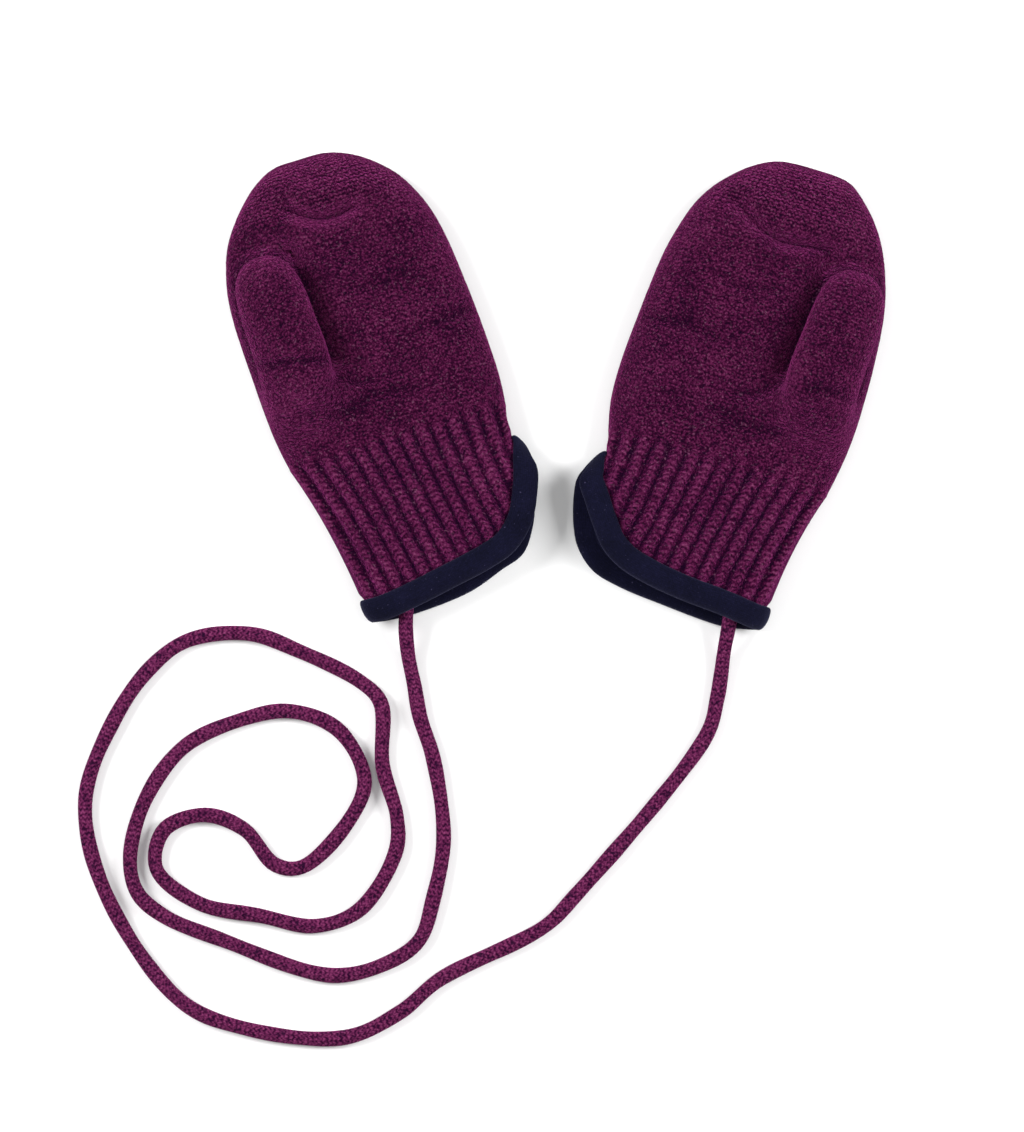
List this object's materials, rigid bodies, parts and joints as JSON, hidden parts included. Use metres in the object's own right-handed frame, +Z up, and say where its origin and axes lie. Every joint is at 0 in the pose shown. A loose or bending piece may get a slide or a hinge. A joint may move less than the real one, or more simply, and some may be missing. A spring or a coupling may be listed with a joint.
{
  "type": "pair of baby mittens",
  "caption": "Knitted baby mittens with thumbs, ribbed cuffs, bound hems with a side slit and one knitted cord joining them, laid flat with the palms up.",
  "frame": {"origin": "middle of the underside of the two mittens' bounding box, on the surface they lie on", "axes": "+Z up from the surface through the backs to the palms, +Y towards the fingertips, +X from the left mitten to the right mitten"},
  "size_m": [0.2418, 0.2678, 0.0232],
  "materials": {
    "plum_felt": "felted knit with dark and light flecks",
    "plum_rib": "ribbed knit with dark and light flecks",
    "navy_jersey": "matte brushed jersey",
    "plum_cord": "tube-knit cord"
  },
  "bodies": {
    "root": {"left_hand": "plum_felt", "left_thumb": "plum_felt", "left_cuff": "plum_rib", "left_binding": "navy_jersey", "left_lining": "navy_jersey", "right_hand": "plum_felt", "right_thumb": "plum_felt", "right_cuff": "plum_rib", "right_binding": "navy_jersey", "right_lining": "navy_jersey", "cord": "plum_cord"}
  },
  "joints": []
}
